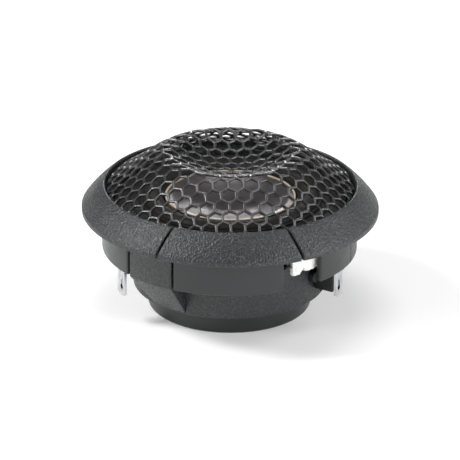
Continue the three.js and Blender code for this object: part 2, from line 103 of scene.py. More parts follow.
# Gaps
CLEARANCE = 0.05  # left between two pieces that would touch
OVERLAP = 0.05  # how far a rib starts inside the wall that it grows from

# Housing
SHELL_R = 17.95
SHELL_WALL = 1
SHELL_Z = low("body_shell", "z")
SHELL_TOP_Z = high("body_shell", "z")
SHELL_FLOOR = 1.4
COLLAR_R = 21.4
COLLAR_Z = 14.2
COLLAR_TOP_Z = SHELL_TOP_Z - 0.55
COLLAR_WALL = 1.8
COLLAR_FLOOR = 1
GUSSET_R = 23.62
GUSSET_KNEE_Z = 11.4
GUSSET_CENTRES = (-38.25, 81.75, 201.75)
GUSSET_HALF = 12
GUSSET_ROOT = 0.5
GUSSET_SLOT = 1
RECESS_ANGLE, RECESS_Z, RECESS_R, RECESS_FLOOR_R = 57, 9.4, 1.1, 17.4
EYE_ANGLE, EYE_Z, EYE_R = 27.6, 15.1, 0.55
CUP_R = 15.2
CUP_WALL = 1.4
CUP_ROUND = 0.6
CUP_GROOVE_R, CUP_GROOVE_WIDTH, CUP_GROOVE_DEPTH = 12.4, 0.8, 0.2

# Grille
GRILLE_R = high("grille", "x")
GRILLE_SKIN = 0.5
GRILLE_EDGE_Z = 23.05
GRILLE_PROFILE = (
    (0, 26.6),
    (4, 26.9),
    (7, 27.72),
    (9.5, 28.72),
    (11.2, 29.38),
    (12.6, 29.6),
    (15.4, 28.2),
    (18.9, 25.5),
)
HEX_PITCH = 2.66
HEX_STRAND = 0.54
HEX_SHIFT = (0.1, 0.58)
HEX_TURN = 3.5
HEX_POINTS = 18
DRAW, DRAW_R, DRAW_WIDTH = 0.23, 11, 3.5

# Moving parts
COIL_R = high("dome", "x")
DOME_RIM_Z = high("dome", "z")
DOME_DEPTH = 2.3
DOME_SKIN = 0.3
DOME_RIM = 0.9
BOND_TOP_Z = high("bond_ring", "z")

# Surround and its carrier
SURROUND_INNER_R = 12.45
SURROUND_OUTER_R = high("surround", "x")
SURROUND_Z = low("surround", "z")
SURROUND_CREST = 0.9
SURROUND_SKIN = 0.25
SURROUND_LIP = 0.7
CARRIER_TOP_Z = high("diaphragm_carrier", "z")
CARRIER_Z = low("diaphragm_carrier", "z")
CARRIER_R = 21.3
CARRIER_BORE_R = 15.9
CARRIER_STEP_R = 17.1
CARRIER_STEP_Z = 19.5
CARRIER_GROOVE_R, CARRIER_GROOVE_WIDTH, CARRIER_GROOVE_DEPTH = 18.8, 0.8, 0.25
LEAD_CHANNEL = 1.1

# Terminals: direction and the shoulder's reach to each side
TERMINALS = {"left": (-62.5, 2.6, 2.6), "right": (64.4, 2.6, 1.8)}
TAB_HALF = 1.4
TAB_CORNER = 0.55
TAB_THICKNESS = 0.5
TAB_FACE_R = 22.4
TAB_Z = low("terminal_left", "z")
TAB_TOP_Z = high("terminal_left", "z")
TAB_SHOULDER_Z = 11
TAB_HOLE_Z = 7.1
TAB_HOLE_R = 0.5
TAB_SLOT_WIDTH, TAB_SLOT_HEIGHT = 0.42, 1.5
TAB_STAMP_WIDTH, TAB_STAMP_HEIGHT, TAB_STAMP_DEPTH = 1.5, 3.2, 0.1
TAB_FOOT_R = 19.6
BLOCK_HALF = 4.6
LUG_R, LUG_FACE_R = 1.05, 19

# Leads and glue
LEAD_R = 0.2
LEAD_Z = 18.9
WIRE_SIDES = 16
LEAD_INNER_R = 13.9
LEAD_DROP_R = 20.4
LEAD_LAID_R = 21.8
SOLDER_R = 0.75
SOLDER_HEIGHT = 0.45
BEAD_LOW, BEAD_HIGH = low("adhesive_bead", "z"), high("adhesive_bead", "z")
BEAD_FROM, BEAD_TO, BEAD_INNER_R, BEAD_OUTER_R = 30.5, 46.3, 21.45, 22.35
BEAD_COLUMNS, BEAD_ROWS = 72, 28
BEAD_END_ROUND, BEAD_EDGE_ROUND = 0.05, 0.14
BEAD_TOP_GAP = 0.02


# ---- Mesh helpers ---------------------------------------------------------------------------


def make_object(name, points, faces, material):
    """A mesh object from points in millimetres, smooth shaded."""
    mesh = bpy.data.meshes.new(name)
    mesh.from_pydata([Vector(p) * MM for p in points], [], faces)
    mesh.validate()
    mesh.polygons.foreach_set("use_smooth", [True] * len(mesh.polygons))
    obj = bpy.data.objects.new(name, mesh)
    bpy.context.scene.collection.objects.link(obj)
    mesh.materials.append(material)
    return obj


def weld(obj, distance=0.002):
    """Merges points closer than distance and turns every face outwards."""
    work = bmesh.new()
    work.from_mesh(obj.data)
    bmesh.ops.remove_doubles(work, verts=work.verts, dist=distance * MM)
    bmesh.ops.dissolve_degenerate(work, edges=work.edges, dist=distance * MM * 0.1)
    bmesh.ops.recalc_face_normals(work, faces=work.faces)
    work.to_mesh(obj.data)
    work.free()
    return obj


def apply_modifiers(obj):
    """Replaces an object's mesh with what its modifiers make of it."""
    graph = bpy.context.evaluated_depsgraph_get()
    mesh = bpy.data.meshes.new_from_object(obj.evaluated_get(graph))
    old = obj.data
    obj.modifiers.clear()
    obj.data = mesh
    bpy.data.meshes.remove(old)
    mesh.name = obj.name
    return obj


def round_edges(obj, width, segments, angle=30):
    """Rounds every edge sharper than angle."""
    bevel = obj.modifiers.new("round", "BEVEL")
    bevel.width = width * MM
    bevel.segments = segments
    bevel.limit_method = "ANGLE"
    bevel.angle_limit = math.radians(angle)
    bevel.miter_outer = "MITER_ARC"
    bevel.use_clamp_overlap = True
    return apply_modifiers(obj)


def combine(obj, other, operation):
    """Joins other to obj or cuts it away, with other's material on the new faces, and removes other."""
    boolean = obj.modifiers.new("combine", "BOOLEAN")
    boolean.operation = operation
    boolean.solver = "EXACT"
    boolean.material_mode = "TRANSFER"
    boolean.object = other
    apply_modifiers(obj)
    bpy.data.objects.remove(other)
    return obj


def crisp(obj, angle=35):
    """Smooth shading with edges sharper than angle left sharp."""
    obj.data.polygons.foreach_set("use_smooth", [True] * len(obj.data.polygons))
    obj.data.set_sharp_from_angle(angle=math.radians(angle))
    return obj


def settle(obj, body, slot, *nodes):
    """Puts a finished piece on its body and hides the CAD nodes that it stands for; slot is not used."""
    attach(obj, body)
    if nodes:
        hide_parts(*nodes)
    return obj


def polar(radius, angle, z):
    """A point by its distance from the axis, its direction and its height."""
    a = math.radians(angle)
    return (radius * math.sin(a), -radius * math.cos(a), z)


def arc(centre_r, centre_z, radius, start, end, steps):
    """Points of an arc in the radius and height plane, 0 degrees outwards and 90 up."""
    turns = [math.radians(start + (end - start) * i / steps) for i in range(steps + 1)]
    return [(centre_r + radius * math.cos(a), centre_z + radius * math.sin(a)) for a in turns]


def bowed(start, end, bulge, steps):
    """Points of a line that swells to its right by bulge at its middle."""
    dr, dz = end[0] - start[0], end[1] - start[1]
    length = math.hypot(dr, dz)
    points = []
    for i in range(steps + 1):
        t = i / steps
        swell = 4 * bulge * t * (1 - t) / length
        points.append((start[0] + dr * t + dz * swell, start[1] + dz * t - dr * swell))
    return points


def turned(name, outline, material, steps=240):
    """A full ring or disc from an outline of (radius, height) points."""
    count = len(outline)
    points = [polar(r, 360 * i / steps, z) for i in range(steps) for r, z in outline]
    faces = []
    for i in range(steps):
        here, there = i * count, (i + 1) % steps * count
        for k in range(count):
            after = (k + 1) % count
            faces.append((here + k, there + k, there + after, here + after))
    return weld(make_object(name, points, faces, material))


def sector(name, outline, material, start, end, step=1.5):
    """Part of a ring between two directions, each a number or a function of the radius."""
    start_at = start if callable(start) else lambda r: start
    end_at = end if callable(end) else lambda r: end
    widest = max(end_at(r) - start_at(r) for r, _ in outline)
    steps = max(2, round(widest / step))
    count = len(outline)
    points = []
    for i in range(steps + 1):
        for r, z in outline:
            angle = start_at(r) + (end_at(r) - start_at(r)) * i / steps
            points.append(polar(r, angle, z))
    faces = [tuple(range(count)), tuple(steps * count + k for k in reversed(range(count)))]
    for i in range(steps):
        for k in range(count):
            after = (k + 1) % count
            here, there = i * count, (i + 1) * count
            faces.append((here + k, there + k, there + after, here + after))
    return weld(make_object(name, points, faces, material))


def prism(name, outline, material, low_z, high_z):
    """A slab with an (x, y) outline between two heights."""
    count = len(outline)
    points = [(x, y, low_z) for x, y in outline] + [(x, y, high_z) for x, y in outline]
    faces = [tuple(reversed(range(count))), tuple(range(count, 2 * count))]
    for k in range(count):
        after = (k + 1) % count
        faces.append((k, after, count + after, count + k))
    return weld(make_object(name, points, faces, material))


def turn_about_axis(obj, angle):
    """Turns an object's mesh round the speaker's axis."""
    obj.data.transform(Matrix.Rotation(math.radians(angle), 4, "Z"))
    return obj


def tube(name, path, radius, material):
    """A round wire along a list of points, closed at both ends."""
    route = [Vector(p) for p in path]
    points, faces = [], []
    sides = WIRE_SIDES
    side = Vector((0, 0, 1)).cross(route[1] - route[0]).normalized()
    for i, centre in enumerate(route):
        ahead = route[min(i + 1, len(route) - 1)] - route[max(i - 1, 0)]
        ahead.normalize()
        side = (side - ahead * side.dot(ahead)).normalized()
        up = ahead.cross(side)
        for k in range(sides):
            a = 2 * math.pi * k / sides
            points.append(centre + (side * math.cos(a) + up * math.sin(a)) * radius)
    for i in range(len(route) - 1):
        for k in range(sides):
            after = (k + 1) % sides
            faces.append((i * sides + k, i * sides + after, (i + 1) * sides + after, (i + 1) * sides + k))
    faces.append(tuple(reversed(range(sides))))
    faces.append(tuple((len(route) - 1) * sides + k for k in range(sides)))
    return weld(make_object(name, points, faces, material))


def spline(controls, samples):
    """Points of a smooth curve through controls of any dimension, samples for each stretch."""
    controls = [Vector(c) for c in controls]
    ends = [controls[0] * 2 - controls[1], *controls, controls[-1] * 2 - controls[-2]]
    points = []
    for i in range(1, len(ends) - 2):
        a, b, c, d = ends[i - 1 : i + 3]
        for k in range(samples):
            t = k / samples
            linear = (c - a) * t
            square = (a * 2 - b * 5 + c * 4 - d) * t**2
            cubic = (b * 3 - a - c * 3 + d) * t**3
            points.append((b * 2 + linear + square + cubic) / 2)
    points.append(controls[-1])
    return points


# ---- Material helpers -----------------------------------------------------------------------

WAVE_PERIOD = 2 * math.pi / 20  # distance between the ridges of the wave texture at a scale of 1


class Finish:
    """A Principled material and its node tree, with short ways to add texture to it."""

    def __init__(self, name, colour, roughness, metallic=0.0, **sockets):
        self.material = bpy.data.materials.new(name)
        self.material.use_nodes = True
        self.nodes = self.material.node_tree.nodes
        self.links = self.material.node_tree.links
        self.shader = self.nodes["Principled BSDF"]
        self.shader.inputs["Base Color"].default_value = (*colour, 1)
        self.shader.inputs["Roughness"].default_value = roughness
        self.shader.inputs["Metallic"].default_value = metallic
        for socket, value in sockets.items():
            self.shader.inputs[socket.replace("_", " ")].default_value = value
        self.place = self.nodes.new("ShaderNodeTexCoord").outputs["Object"]

    def stretched(self, x, y, z):
        """The place, scaled by axis."""
        mapping = self.nodes.new("ShaderNodeMapping")
        mapping.inputs["Scale"].default_value = (x, y, z)
        self.links.new(self.place, mapping.inputs["Vector"])
        return mapping.outputs["Vector"]

    def noise(self, size, detail=2.0, roughness=0.5, place=None):
        """Noise whose features are about size millimetres across."""
        node = self.nodes.new("ShaderNodeTexNoise")
        node.inputs["Scale"].default_value = 1 / (size * MM)
        node.inputs["Detail"].default_value = detail
        node.inputs["Roughness"].default_value = roughness
        self.links.new(place or self.place, node.inputs["Vector"])
        return node.outputs["Fac"]

    def cells(self, size, feature="F1"):
        """Distance from the middles of random cells about size millimetres across."""
        node = self.nodes.new("ShaderNodeTexVoronoi")
        node.feature = feature
        node.inputs["Scale"].default_value = 1 / (size * MM)
        self.links.new(self.place, node.inputs["Vector"])
        return node.outputs["Distance"]

    def waves(self, size, axis="Z"):
        """Regular ridges across an axis, size millimetres apart."""
        node = self.nodes.new("ShaderNodeTexWave")
        node.wave_type = "BANDS"
        node.bands_direction = axis
        node.inputs["Scale"].default_value = WAVE_PERIOD / (size * MM)
        self.links.new(self.place, node.inputs["Vector"])
        return node.outputs["Fac"]

    def span(self, value, start, end, low_out=0.0, high_out=1.0):
        """A value mapped from start..end to low_out..high_out."""
        node = self.nodes.new("ShaderNodeMapRange")
        node.inputs["From Min"].default_value = start
        node.inputs["From Max"].default_value = end
        node.inputs["To Min"].default_value = low_out
        node.inputs["To Max"].default_value = high_out
        self.links.new(value, node.inputs["Value"])
        return node.outputs["Result"]

    def math(self, operation, a, b):
        """One math node; a and b are sockets or numbers."""
        node = self.nodes.new("ShaderNodeMath")
        node.operation = operation
        for socket, value in zip(node.inputs, (a, b)):
            if isinstance(value, (int, float)):
                socket.default_value = value
            else:
                self.links.new(value, socket)
        return node.outputs["Value"]

    def mix_colour(self, factor, first, second):
        """Two colours mixed by a factor."""
        node = self.nodes.new("ShaderNodeMix")
        node.data_type = "RGBA"
        node.inputs["A"].default_value = (*first, 1)
        node.inputs["B"].default_value = (*second, 1)
        self.links.new(factor, node.inputs["Factor"])
        return node.outputs["Result"]

    def colour(self, socket):
        """Drives the base colour."""
        self.links.new(socket, self.shader.inputs["Base Color"])
        return self

    def roughness(self, socket):
        """Drives the roughness."""
        self.links.new(socket, self.shader.inputs["Roughness"])
        return self

    def bump(self, height, depth):
        """Surface relief from a height of 0 to 1, depth millimetres deep."""
        node = self.nodes.new("ShaderNodeBump")
        node.inputs["Strength"].default_value = 1
        node.inputs["Distance"].default_value = depth * MM
        self.links.new(height, node.inputs["Height"])
        if self.shader.inputs["Normal"].links:
            self.links.new(self.shader.inputs["Normal"].links[0].from_socket, node.inputs["Normal"])
        self.links.new(node.outputs["Normal"], self.shader.inputs["Normal"])
        return self


# ---- Materials ------------------------------------------------------------------------------


def grained_plastic(name, colour, grain_size, grain_depth, glint):
    """Moulded plastic with a spark-eroded grain; the colour is painted lighter on the grain's peaks as
    glints and darker between them as shade.
    """
    f = Finish(name, colour, 0.5, Specular_IOR_Level=0.62)
    grains = f.noise(grain_size, 2, 0.6)
    pits = f.cells(grain_size * 0.8, "SMOOTH_F1")
    relief = f.math("ADD", grains, f.math("MULTIPLY", pits, 0.7))
    # Painted highlight and shade: the grain's peaks get the colour times glint, and the hollows between
    # them get the colour times 0.7.
    painted_glint_tips = f.span(grains, 0.48, 0.66)
    f.colour(f.mix_colour(painted_glint_tips, tuple(c * 0.7 for c in colour), tuple(c * glint for c in colour)))
    f.roughness(f.span(painted_glint_tips, 0.0, 1.0, 0.5, 0.3))
    f.bump(relief, grain_depth)
    return f.material


def smooth_plastic(name, colour, roughness):
    """Satin moulded plastic: faint cloudy sheen and a very fine surface."""
    f = Finish(name, colour, roughness, Specular_IOR_Level=0.5)
    cloud = f.noise(3.5, 3, 0.55)
    f.colour(f.mix_colour(cloud, tuple(c * 0.9 for c in colour), tuple(c * 1.12 for c in colour)))
    f.roughness(f.span(cloud, 0.3, 0.7, roughness - 0.05, roughness + 0.07))
    f.bump(f.noise(0.12, 2), 0.002)
    return f.material


def coated_mesh(name):
    """Black powder coat on steel: fine orange peel and a slightly uneven gloss."""
    f = Finish(name, (0.012, 0.012, 0.013), 0.3, Specular_IOR_Level=0.8)
    peel = f.noise(0.16, 2)
    f.colour(f.mix_colour(f.noise(1.2, 3), (0.009, 0.009, 0.01), (0.02, 0.02, 0.022)))
    f.roughness(f.span(peel, 0.3, 0.7, 0.24, 0.36))
    f.bump(peel, 0.01)
    return f.material


def bright_metal(name, colour, roughness, scratch_size=0.06, stretch=(1, 1, 12)):
    """Plated or rolled metal with fine lines along one direction and cloudy tarnish."""
    f = Finish(name, colour, roughness, 1.0)
    lines = f.noise(scratch_size, 2, place=f.stretched(*[1 / s for s in stretch]))
    cloud = f.noise(1.8, 3)
    f.colour(f.mix_colour(cloud, tuple(c * 0.82 for c in colour), colour))
    f.roughness(f.span(f.math("ADD", lines, cloud), 0.6, 1.4, roughness - 0.06, roughness + 0.12))
    f.bump(lines, 0.004)
    return f.material


def wound_wire(name):
    """Enamelled wire laid in turns, its colour painted darker between them as shade and lighter on their
    crowns as highlight.
    """
    f = Finish(name, (0.5, 0.2, 0.08), 0.32, 1.0)
    turns = f.waves(0.14)
    # Painted shade between the turns and painted highlight on their crowns.
    f.colour(f.mix_colour(turns, (0.3, 0.1, 0.04), (0.62, 0.28, 0.12)))
    f.roughness(f.span(f.noise(0.4, 2), 0.3, 0.7, 0.25, 0.42))
    f.bump(turns, 0.04)
    return f.material


def amber_film(name):
    """Thin amber film, with faint waves from winding."""
    f = Finish(name, (0.33, 0.17, 0.03), 0.3)
    cloud = f.noise(2, 3)
    f.colour(f.mix_colour(cloud, (0.27, 0.13, 0.02), (0.4, 0.22, 0.05)))
    f.roughness(f.span(cloud, 0.3, 0.7, 0.25, 0.4))
    f.bump(f.noise(0.8, 1), 0.01)
    return f.material


def treated_cloth(name, colour):
    """Doped textile: a fine weave under a soft coat."""
    f = Finish(name, colour, 0.7, Specular_IOR_Level=0.35)
    weave = f.math("MULTIPLY", f.waves(0.3, "X"), f.waves(0.3, "Y"))
    cloud = f.noise(1.5, 3)
    f.colour(f.mix_colour(cloud, tuple(c * 0.75 for c in colour), tuple(c * 1.3 for c in colour)))
    f.roughness(f.span(cloud, 0.3, 0.7, 0.55, 0.8))
    f.bump(weave, 0.02)
    return f.material


def glue(name, colour, roughness, lump_size, lump_depth):
    """Cured adhesive: soft lumps, small pores and a slightly glossy skin."""
    f = Finish(name, colour, roughness, Subsurface_Weight=0.1, Subsurface_Scale=0.0005)
    lumps = f.noise(lump_size, 3, 0.55)
    pores = f.span(f.cells(lump_size * 0.6), 0.0, 0.25)
    f.colour(f.mix_colour(lumps, tuple(c * 0.86 for c in colour), colour))
    f.roughness(f.span(lumps, 0.3, 0.7, roughness - 0.1, roughness + 0.1))
    f.bump(f.math("ADD", lumps, f.math("MULTIPLY", pores, 0.25)), lump_depth)
    return f.material


def soft_pad(name, dark, light, fibre_size):
    """Felt or foam: tangled fibres or open cells."""
    f = Finish(name, light, 0.95, Sheen_Weight=0.2)
    fibres = f.noise(fibre_size, 4, 0.7)
    f.colour(f.mix_colour(f.span(fibres, 0.35, 0.65), dark, light))
    f.roughness(f.span(fibres, 0.3, 0.7, 0.85, 1.0))
    f.bump(f.math("ADD", fibres, f.cells(fibre_size * 2)), 0.1)
    return f.material


DARK_GREY = (0.0075, 0.009, 0.0097)
# The last number says how much lighter the painted glints on the grain's peaks are.
GRAINED_PAINTED_GLINTS = grained_plastic("grained_plastic", DARK_GREY, 0.43, 0.2, 3.4)
BODY_GRAIN_PAINTED_GLINTS = grained_plastic("body_grain_painted_glints", DARK_GREY, 0.38, 0.11, 3)
SATIN = smooth_plastic("satin_plastic", (0.012, 0.0138, 0.0143), 0.36)
CUP_SATIN = smooth_plastic("cup_plastic", (0.009, 0.0102, 0.0106), 0.34)
# Black plastic for the black parts; radial_peg also puts it on the walls of the holes it cuts, as painted
# shade.
BLACK_AND_HOLE_SHADE = smooth_plastic("black_plastic", (0.004, 0.004, 0.0045), 0.6)
COAT = coated_mesh("grille_coat")
TIN = bright_metal("tin_plate", (0.62, 0.63, 0.64), 0.3)
FOIL = bright_metal("dome_foil", (0.3, 0.27, 0.28), 0.3, 0.1, (4, 1, 1))
STEEL = bright_metal("zinc_steel", (0.55, 0.56, 0.58), 0.38, 0.2)
NICKEL = bright_metal("nickel_plate", (0.66, 0.64, 0.6), 0.22)
COPPER = wound_wire("coil_wire")
ENAMEL = smooth_plastic("lead_enamel", (0.012, 0.01, 0.009), 0.3)
SOLDER = bright_metal("solder", (0.6, 0.61, 0.63), 0.32, 0.3, (1, 1, 1))
FILM = amber_film("former_film")
CLOTH = treated_cloth("surround_cloth", (0.008, 0.0065, 0.005))
CREAM = glue("bond_glue", (0.62, 0.53, 0.4), 0.45, 0.5, 0.05)
WHITE = glue("white_glue", (0.83, 0.83, 0.81), 0.4, 0.7, 0.08)
FOAM = soft_pad("chamber_foam", (0.02, 0.02, 0.023), (0.08, 0.08, 0.09), 0.25)
FELT = soft_pad("pole_felt", (0.16, 0.14, 0.11), (0.32, 0.28, 0.22), 0.15)


# ---- Flange and badge insert ----------------------------------------------------------------


def flange_outline():
    """Seat, rim, sloped face, bezel and the step that the grille stands on."""
    lip = 0.25
    return [
        (FLANGE_BORE_R, SEAT_STEP_Z),
        (SEAT_INNER_R, SEAT_STEP_Z),
        (SEAT_INNER_R, SEAT_Z),
        (FLANGE_R, SEAT_Z),
        *bowed((FLANGE_R, RIM_TOP_Z), (BEZEL_R + lip, BEZEL_Z - 0.1), SLOPE_BULGE, 10),
        (BEZEL_R, BEZEL_Z),
        (GRILLE_SEAT_R, BEZEL_Z - lip),
        (GRILLE_SEAT_R, GRILLE_SEAT_Z),
        (FLANGE_BORE_R, GRILLE_SEAT_Z),
    ]


def skirt_outline():
    """Half section of a skirt band, which reaches up into the flange."""
    inner, top = SKIRT_R - SKIRT_WALL, SEAT_Z + SKIRT_ROOT
    return [(inner, SKIRT_Z), (SKIRT_R, SKIRT_Z), (SKIRT_R, top), (inner, top)]


def groove_side(grow):
    """The direction at which the badge insert's straight side, moved out by grow, meets a radius."""
    start_r = SKIRT_R - SKIRT_WALL
    splay = math.radians(BADGE_SPLAY)
    from_axis = BADGE_HALF_WIDTH * math.cos(splay) - start_r * math.sin(splay) + grow

    def direction(radius):
        return BADGE_SPLAY + math.degrees(math.asin(from_axis / radius))

    return direction


def skirt_bands(name, bays):
    """Smooth skirt bands between pairs of directions, as separate rounded solids."""
    bands = []
    for start, end in bays:
        band = sector(name, skirt_outline(), SATIN, start, end)
        bands.append(round_edges(band, 0.3, 4))
    return bands


def flange_ring():
    """Flange all round but for the front sector, with a skirt band between each two gussets."""
    edge = groove_side(GROOVE_WIDTH / 2)
    ring = sector("flange_ring_body", flange_outline(), GRAINED_PAINTED_GLINTS, edge, lambda r: 360 - edge(r), 1.2)
    round_edges(ring, 0.14, 3)
    first, second, third = GUSSET_CENTRES
    clear = GUSSET_HALF + GUSSET_SLOT
    bays = [
        (WINDOW_END, second - clear),
        (second + clear, third - clear),
        (third + clear, first + 360 - clear),
    ]
    for band in skirt_bands("skirt_band", bays):
        combine(ring, band, "UNION")
    ring.name = "flange_ring_visual"
    return settle(crisp(ring), ROOT, "grained_plastic", "flange_ring")


def badge_insert():
    """Front sector of the flange, between two grooves, with the skirt band below it."""
    edge = groove_side(-GROOVE_WIDTH / 2)
    insert = sector("badge_insert_body", flange_outline(), GRAINED_PAINTED_GLINTS, lambda r: -edge(r), edge, 1.2)
    round_edges(insert, 0.14, 3)
    start = GUSSET_CENTRES[0] + GUSSET_HALF + GUSSET_SLOT
    for band in skirt_bands("badge_skirt", [(start, BADGE_SKIRT_END)]):
        combine(insert, band, "UNION")
    insert.name = "badge_insert_visual"
    return settle(crisp(insert), ROOT, "grained_plastic", "badge_insert")


# ---- Grille ---------------------------------------------------------------------------------


def grille_curve():
    """The grille's profile as (flat length, radius, height) samples, from the middle to the foot.

    The flat length is that of the sheet before pressing, which stretches it round the crest.
    """
    foot = low("grille", "z")
    line = spline([*GRILLE_PROFILE, (GRILLE_R - GRILLE_SKIN / 2, GRILLE_EDGE_Z)], 16)
    line.append(Vector((GRILLE_R - GRILLE_SKIN / 2, foot + GRILLE_SKIN / 2)))
    samples = [(0.0, line[0][0], line[0][1])]
    for before, after in zip(line, line[1:]):
        flat = (after - before).length * (1 - DRAW * math.exp(-(((after[0] - DRAW_R) / DRAW_WIDTH) ** 2)))
        samples.append((samples[-1][0] + flat, after[0], after[1]))
    return samples


def on_curve(samples, length):
    """Radius, height and outward direction of the profile at a flat length."""
    for (s0, r0, z0), (s1, r1, z1) in zip(samples, samples[1:]):
        if length <= s1:
            t = (length - s0) / (s1 - s0)
            along = Vector((r1 - r0, z1 - z0)).normalized()
            return r0 + (r1 - r0) * t, z0 + (z1 - z0) * t, along
    return samples[-1][1], samples[-1][2], along


def hexagon_ring(centre, circumradius):
    """Points round a hexagon with corners at front and back: each corner and two on each side."""
    corners = []
    for k in range(6):
        a = math.radians(90 + 60 * k)
        corners.append(centre + Vector((math.cos(a), math.sin(a))) * circumradius)
    ring = []
    for k in range(6):
        here, there = corners[k], corners[(k + 1) % 6]
        ring += [here, here.lerp(there, 0.16), here.lerp(there, 0.84)]
    return ring


def grille():
    """Perforated sheet: a flat field of hexagonal holes laid over the pressed profile."""
    samples = grille_curve()
    reach = samples[-1][0]
    outer = HEX_PITCH / math.sqrt(3)
    inner = (HEX_PITCH - HEX_STRAND) / math.sqrt(3)
    row_gap = HEX_PITCH * math.sqrt(3) / 2
    rows = math.ceil(reach / row_gap) + 1
    points, faces, normals = [], [], []
    turn = Matrix.Rotation(math.radians(HEX_TURN), 2)

    def lay(flat):
        flat = turn @ flat
        length = min(flat.length, reach)
        around = flat.normalized() if flat.length > 1e-9 else Vector((0, -1))
        r, z, along = on_curve(samples, length)
        points.append((around.x * r, around.y * r, z))
        normals.append(Vector((-along[1] * around.x, -along[1] * around.y, along[0])))

    for row in range(-rows, rows + 1):
        shift = HEX_PITCH / 2 if row % 2 else 0
        for column in range(-rows, rows + 1):
            centre = Vector((column * HEX_PITCH + shift, row * row_gap)) + Vector(HEX_SHIFT)
            if centre.length > reach + outer * 0.3:
                continue
            first = len(points)
            for flat in hexagon_ring(centre, outer) + hexagon_ring(centre, inner):
                lay(flat)
            for k in range(HEX_POINTS):
                after = (k + 1) % HEX_POINTS
                hole = first + HEX_POINTS
                faces.append((first + k, first + after, hole + after, hole + k))
    half = GRILLE_SKIN / 2
    count = len(points)
    top = [Vector(p) + n * half for p, n in zip(points, normals)]
    bottom = [Vector(p) - n * half for p, n in zip(points, normals)]
    all_faces = list(faces)
    all_faces += [tuple(count + v for v in reversed(face)) for face in faces]
    for hole in range(HEX_POINTS, count, 2 * HEX_POINTS):
        for k in range(HEX_POINTS):
            here, there = hole + k, hole + (k + 1) % HEX_POINTS
            all_faces.append((here, there, count + there, count + here))
    mesh = weld(make_object("grille_mesh", top + bottom, all_faces, COAT), 0.01)
    close_rim(mesh)
    smooth = mesh.modifiers.new("smooth", "SUBSURF")
    smooth.levels = 1
    smooth.render_levels = 1
    apply_modifiers(mesh)
    crisp(mesh, 80)
    return settle(mesh, ROOT, "grille_coat", "grille")


def close_rim(obj):
    """Closes the cut edge of the perforated sheet, between its two faces."""
    work = bmesh.new()
    work.from_mesh(obj.data)
    open_edges = [e for e in work.edges if len(e.link_faces) == 1]
    bmesh.ops.bridge_loops(work, edges=open_edges)
    bmesh.ops.recalc_face_normals(work, faces=work.faces)
    work.to_mesh(obj.data)
    work.free()


# ---- Housing --------------------------------------------------------------------------------


def radial_peg(radius, inner_r, outer_r, angle, z):
    """A round peg along the radius at a direction. It is black, and the walls of a hole that it cuts take
    that black as painted shade.
    """
    steps = 32
    ring = [math.radians(360 * i / steps) for i in range(steps)]
    points = [(radius * math.cos(a), -inner_r, z + radius * math.sin(a)) for a in ring]
    points += [(x, -outer_r, height) for x, _, height in points]
    faces = [tuple(range(steps)), tuple(reversed(range(steps, 2 * steps)))]
    for k in range(steps):
        after = (k + 1) % steps
        faces.append((k, steps + k, steps + after, after))
    return turn_about_axis(weld(make_object("peg", points, faces, BLACK_AND_HOLE_SHADE)), angle)


def box_at(size, centre, angle, material):
    """A box by its size and centre, turned to a direction round the axis."""
    (w, d, h), (x, y, z) = size, centre
    outline = [
        (x - w / 2, y - d / 2),
        (x + w / 2, y - d / 2),
        (x + w / 2, y + d / 2),
        (x - w / 2, y + d / 2),
    ]
    return turn_about_axis(prism("box", outline, material, z - h / 2, z + h / 2), angle)


def shell_outline():
    """Half section of the housing: cylinder, step and collar."""
    inner = SHELL_R - SHELL_WALL
    collar_inner = COLLAR_R - COLLAR_WALL
    hole = CUP_R + CLEARANCE
    return [
        (hole, SHELL_Z),
        (SHELL_R, SHELL_Z),
        (SHELL_R, COLLAR_Z),
        (COLLAR_R, COLLAR_Z),
        (COLLAR_R, COLLAR_TOP_Z),
        (collar_inner, COLLAR_TOP_Z),
        (collar_inner, COLLAR_Z + COLLAR_FLOOR),
        (inner, COLLAR_Z + COLLAR_FLOOR),
        (inner, SHELL_Z + SHELL_FLOOR),
        (hole, SHELL_Z + SHELL_FLOOR),
    ]


def gusset_outline():
    """Half section of a gusset, from its toe on the cylinder to the collar."""
    foot_z = SHELL_Z + 0.2
    top_inner_z = SHELL_TOP_Z - 0.7
    return [
        (SHELL_R - GUSSET_ROOT, foot_z),
        (SHELL_R - OVERLAP, foot_z),
        (GUSSET_R, GUSSET_KNEE_Z),
        (GUSSET_R, SHELL_TOP_Z),
        (COLLAR_R - OVERLAP, SHELL_TOP_Z),
        (COLLAR_R - OVERLAP, top_inner_z),
        (COLLAR_R - GUSSET_ROOT, top_inner_z),
        (COLLAR_R - GUSSET_ROOT, COLLAR_Z + 0.1),
        (SHELL_R - GUSSET_ROOT, COLLAR_Z + 0.1),
    ]


def body_shell():
    """Housing with its gussets, the slot of the left lead, the eye of the right one and the recess."""
    shell = round_edges(turned("body_shell_body", shell_outline(), BODY_GRAIN_PAINTED_GLINTS, 360), 0.18, 3)
    for centre in GUSSET_CENTRES:
        rib = sector("gusset", gusset_outline(), BODY_GRAIN_PAINTED_GLINTS, centre - GUSSET_HALF, centre + GUSSET_HALF)
        combine(shell, round_edges(rib, 0.16, 3), "UNION")
    height = SHELL_TOP_Z - COLLAR_Z + 2
    slot_size = (LEAD_CHANNEL, COLLAR_WALL + 1, height)
    slot_centre = (0, COLLAR_WALL / 2 - COLLAR_R, COLLAR_Z - 1 + height / 2)
    combine(shell, box_at(slot_size, slot_centre, TERMINALS["left"][0], BODY_GRAIN_PAINTED_GLINTS), "DIFFERENCE")
    # The walls of the eye and the recess take the peg's black: painted shade.
    combine(shell, radial_peg(EYE_R, SHELL_R + 0.1, COLLAR_R + 1, EYE_ANGLE, EYE_Z), "DIFFERENCE")
    recess = radial_peg(RECESS_R, RECESS_FLOOR_R, SHELL_R + 1, RECESS_ANGLE, RECESS_Z)
    combine(shell, recess, "DIFFERENCE")
    shell.name = "body_shell_visual"
    return settle(crisp(shell), ROOT, "grained_plastic", "body_shell")


